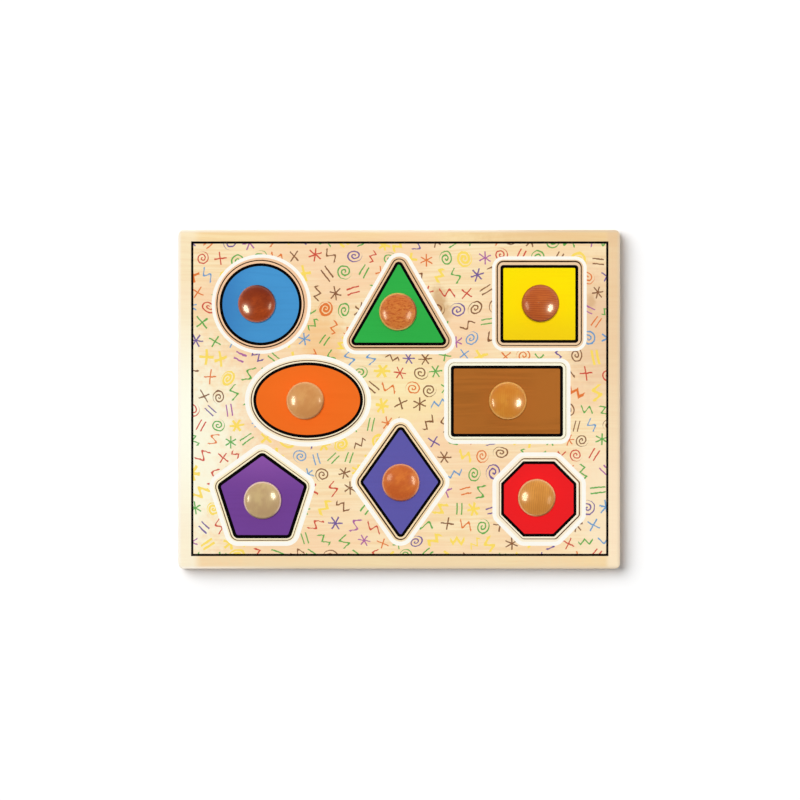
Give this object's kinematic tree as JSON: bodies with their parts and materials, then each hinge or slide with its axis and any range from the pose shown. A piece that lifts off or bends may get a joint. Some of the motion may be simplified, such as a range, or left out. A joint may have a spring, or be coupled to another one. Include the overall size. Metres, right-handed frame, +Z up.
{
  "type": "peg puzzle",
  "caption": "Wooden knob puzzle: a printed rectangular board with wells for flat geometric shape pieces, each lifted out by a large turned knob.",
  "frame": {"origin": "middle of the board's underside, on the surface that it lies on", "axes": "+X to the right along the board's length, +Y to the back along its depth, +Z up through the knobs"},
  "size_m": [0.4, 0.307, 0.032],
  "materials": {
    "face_wood": "pale plywood printed with small coloured strokes, white bands and a black frame line, clear coat",
    "back_wood": "plain sanded plywood",
    "circle_print": "blue ink with a black outline on plywood, bare edges",
    "triangle_print": "green ink with a black outline on plywood, bare edges",
    "square_print": "yellow ink with a black outline on plywood, bare edges",
    "oval_print": "orange ink with a black outline on plywood, bare edges",
    "rectangle_print": "brown ink with a black outline on plywood, bare edges",
    "pentagon_print": "purple ink with a black outline on plywood, bare edges",
    "diamond_print": "violet ink with a black outline on plywood, bare edges",
    "octagon_print": "red ink with a black outline on plywood, bare edges",
    "circle_knob_wood": "dark reddish turned wood, glossy clear lacquer",
    "triangle_knob_wood": "orange brown turned wood, glossy clear lacquer",
    "square_knob_wood": "reddish brown turned wood, glossy clear lacquer",
    "oval_knob_wood": "pale tan turned wood, glossy clear lacquer",
    "rectangle_knob_wood": "honey turned wood, glossy clear lacquer",
    "pentagon_knob_wood": "pale khaki turned wood, glossy clear lacquer",
    "diamond_knob_wood": "orange brown turned wood, glossy clear lacquer",
    "octagon_knob_wood": "tan turned wood, glossy clear lacquer",
    "screw_steel": "zinc plated steel"
  },
  "bodies": {
    "board": {"back_board": "back_wood", "face_board": "face_wood"},
    "circle_piece": {"circle_tile": "circle_print", "circle_knob": "circle_knob_wood", "circle_screw": "screw_steel"},
    "triangle_piece": {"triangle_tile": "triangle_print", "triangle_knob": "triangle_knob_wood", "triangle_screw": "screw_steel"},
    "square_piece": {"square_tile": "square_print", "square_knob": "square_knob_wood", "square_screw": "screw_steel"},
    "oval_piece": {"oval_tile": "oval_print", "oval_knob": "oval_knob_wood", "oval_screw": "screw_steel"},
    "rectangle_piece": {"rectangle_tile": "rectangle_print", "rectangle_knob": "rectangle_knob_wood", "rectangle_screw": "screw_steel"},
    "pentagon_piece": {"pentagon_tile": "pentagon_print", "pentagon_knob": "pentagon_knob_wood", "pentagon_screw": "screw_steel"},
    "diamond_piece": {"diamond_tile": "diamond_print", "diamond_knob": "diamond_knob_wood", "diamond_screw": "screw_steel"},
    "octagon_piece": {"octagon_tile": "octagon_print", "octagon_knob": "octagon_knob_wood", "octagon_screw": "screw_steel"}
  },
  "joints": [
    {"name": "circle_lift", "type": "slide", "parent": "board", "child": "circle_piece", "axis": [0, 0, 1], "range_m": [0, 0.045]},
    {"name": "triangle_lift", "type": "slide", "parent": "board", "child": "triangle_piece", "axis": [0, 0, 1], "range_m": [0, 0.045]},
    {"name": "square_lift", "type": "slide", "parent": "board", "child": "square_piece", "axis": [0, 0, 1], "range_m": [0, 0.045]},
    {"name": "oval_lift", "type": "slide", "parent": "board", "child": "oval_piece", "axis": [0, 0, 1], "range_m": [0, 0.045]},
    {"name": "rectangle_lift", "type": "slide", "parent": "board", "child": "rectangle_piece", "axis": [0, 0, 1], "range_m": [0, 0.045]},
    {"name": "pentagon_lift", "type": "slide", "parent": "board", "child": "pentagon_piece", "axis": [0, 0, 1], "range_m": [0, 0.045]},
    {"name": "diamond_lift", "type": "slide", "parent": "board", "child": "diamond_piece", "axis": [0, 0, 1], "range_m": [0, 0.045]},
    {"name": "octagon_lift", "type": "slide", "parent": "board", "child": "octagon_piece", "axis": [0, 0, 1], "range_m": [0, 0.045]}
  ]
}
